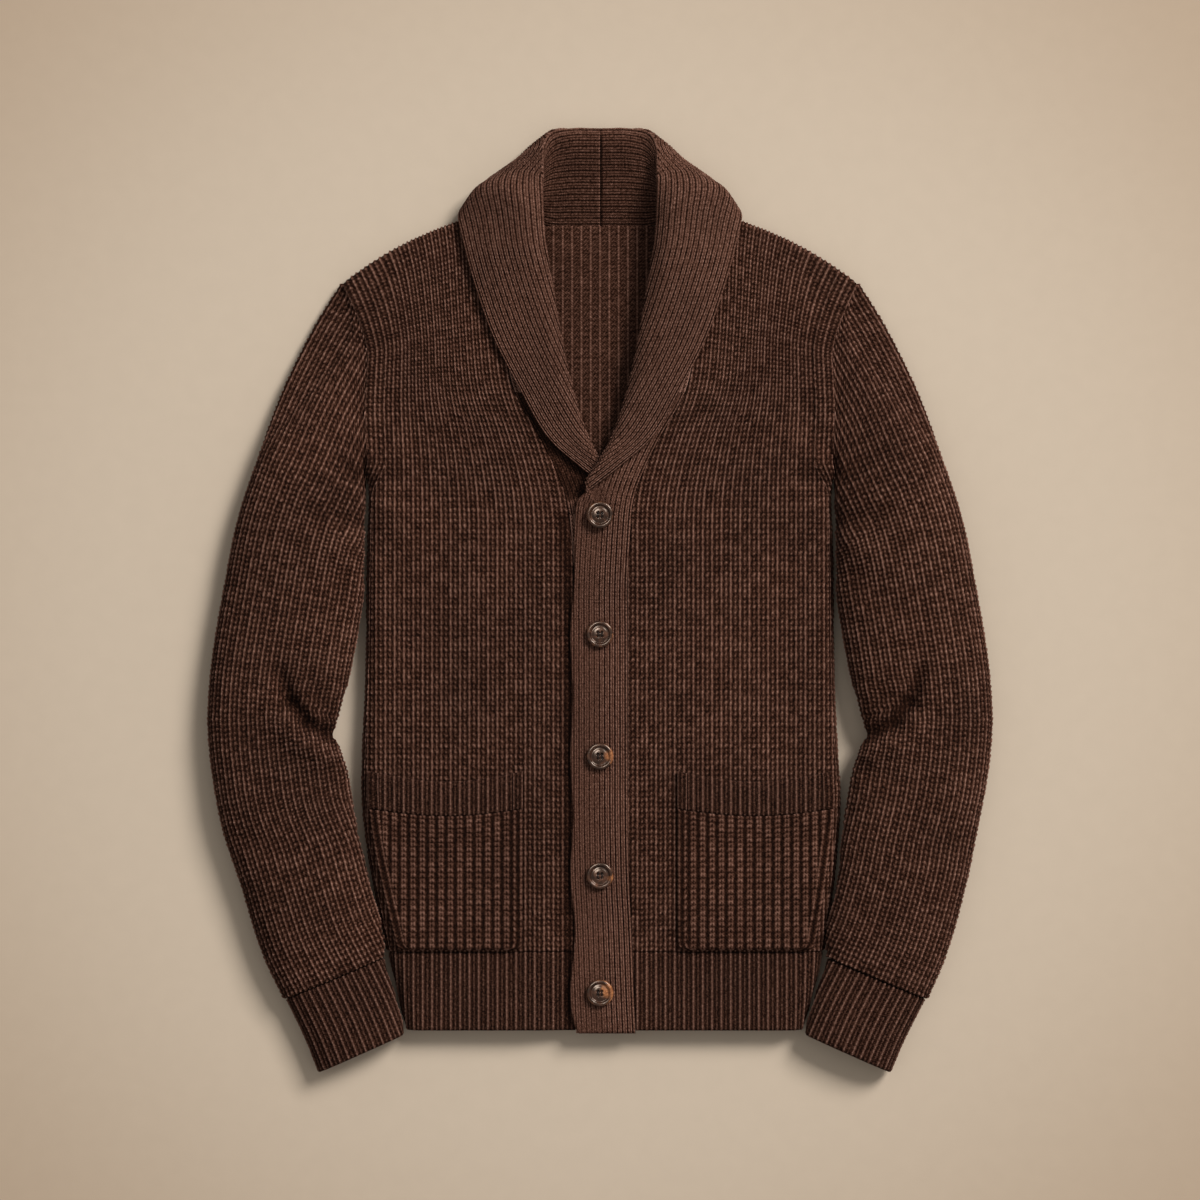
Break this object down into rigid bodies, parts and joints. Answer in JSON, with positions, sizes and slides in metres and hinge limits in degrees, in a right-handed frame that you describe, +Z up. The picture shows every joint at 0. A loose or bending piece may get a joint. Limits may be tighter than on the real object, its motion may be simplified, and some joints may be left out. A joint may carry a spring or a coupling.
{
  "type": "shawl collar cardigan",
  "caption": "Chunky ribbed knit cardigan with a shawl collar, buttoned front and two patch pockets, laid flat on its back.",
  "frame": {"origin": "middle of the bounding box on the surface the cardigan lies on", "axes": "+X towards the wearer's left sleeve, +Y towards the collar, +Z up from the surface through the front"},
  "size_m": [0.6898, 0.8308, 0.0368],
  "materials": {
    "half_cardigan_knit": "chunky half-cardigan rib in brown wool, matt and slightly hairy",
    "ribbed_trim_knit": "deep plain rib in the same brown wool",
    "fine_rib_knit": "finer rib of the button band and collar, same brown wool",
    "dark_horn": "polished dark brown horn-look resin"
  },
  "bodies": {
    "root": {"back": "half_cardigan_knit", "front_left": "half_cardigan_knit", "front_right": "half_cardigan_knit", "sleeve_left": "half_cardigan_knit", "sleeve_right": "half_cardigan_knit", "pocket_left": "half_cardigan_knit", "pocket_right": "half_cardigan_knit", "hem_back": "ribbed_trim_knit", "hem_front_left": "ribbed_trim_knit", "hem_front_right": "ribbed_trim_knit", "cuff_left": "ribbed_trim_knit", "cuff_right": "ribbed_trim_knit", "welt_left": "ribbed_trim_knit", "welt_right": "ribbed_trim_knit", "band_left": "fine_rib_knit", "band_right": "fine_rib_knit", "button_1": "dark_horn", "button_2": "dark_horn", "button_3": "dark_horn", "button_4": "dark_horn", "button_5": "dark_horn"}
  },
  "joints": []
}
